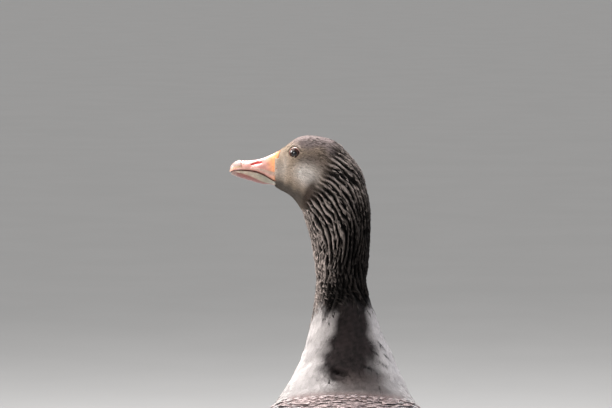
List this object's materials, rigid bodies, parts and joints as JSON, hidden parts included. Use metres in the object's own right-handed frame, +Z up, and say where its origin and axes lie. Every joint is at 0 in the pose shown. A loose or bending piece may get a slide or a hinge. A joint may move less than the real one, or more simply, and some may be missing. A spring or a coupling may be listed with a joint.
{
  "type": "domestic goose",
  "caption": "Life-size still model of a grey domestic goose of the greylag form, standing alert with its head turned to its left; for display.",
  "frame": {"origin": "on the floor, under the middle of the whole figure's box", "axes": "+Z up; the trunk faces -Y and its left side is +X; the head is turned to its left, so the bill points along +X"},
  "size_m": [0.2798, 0.5778, 0.76],
  "materials": {
    "plumage": "soft matt feathers, grey-brown with paler edges, white under the tail",
    "neck_plumage": "deeply furrowed dark grey-brown feathers",
    "wing_plumage": "grey-brown feathers with pale edges",
    "flight_feather": "blackish-brown quills with pale shafts",
    "tail_plumage": "grey feathers with white edges and tips",
    "bill": "orange-pink horn with a pale nail",
    "eye": "wet dark brown eye",
    "leg": "dull flesh-pink scaly skin",
    "claw": "dark horn"
  },
  "bodies": {
    "root": {"bill_lower": "bill", "bill_upper": "bill", "claw_inner_left": "claw", "claw_inner_right": "claw", "claw_middle_left": "claw", "claw_middle_right": "claw", "claw_outer_left": "claw", "claw_outer_right": "claw", "eye_left": "eye", "eye_right": "eye", "foot_left": "leg", "foot_right": "leg", "head": "plumage", "hind_toe_left": "leg", "hind_toe_right": "leg", "neck_lower": "neck_plumage", "neck_upper": "neck_plumage", "primaries_left": "flight_feather", "primaries_right": "flight_feather", "shank_left": "leg", "shank_right": "leg", "tail": "tail_plumage", "thigh_left": "plumage", "thigh_right": "plumage", "trunk": "plumage", "wing_left": "wing_plumage", "wing_right": "wing_plumage"}
  },
  "joints": []
}
